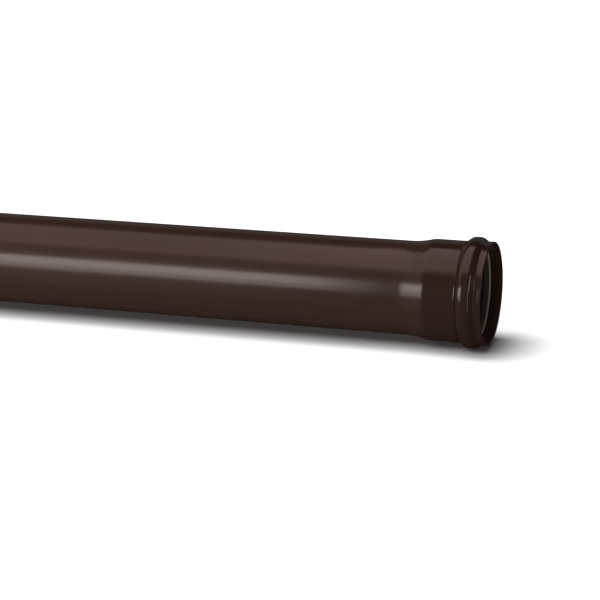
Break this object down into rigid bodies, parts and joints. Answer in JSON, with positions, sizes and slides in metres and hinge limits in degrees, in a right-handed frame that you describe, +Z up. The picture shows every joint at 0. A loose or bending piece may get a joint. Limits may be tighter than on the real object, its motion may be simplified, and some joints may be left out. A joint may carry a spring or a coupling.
{
  "type": "soil pipe",
  "caption": "Dark brown plastic soil pipe with a plain chamfered end and a belled push-fit socket holding a rubber ring seal, for above-ground drainage.",
  "frame": {"origin": "on the pipe's axis at the root of the socket, where the end of a pushed-in pipe stops", "axes": "+X along the axis, out of the socket's mouth; +Z up with the pipe lying on a level floor"},
  "size_m": [3.0668, 0.1288, 0.1292],
  "materials": {
    "pipe": "gloss",
    "ring_seal": "matt"
  },
  "bodies": {
    "root": {"pipe": "pipe", "ring_seal": "ring_seal"}
  },
  "joints": []
}
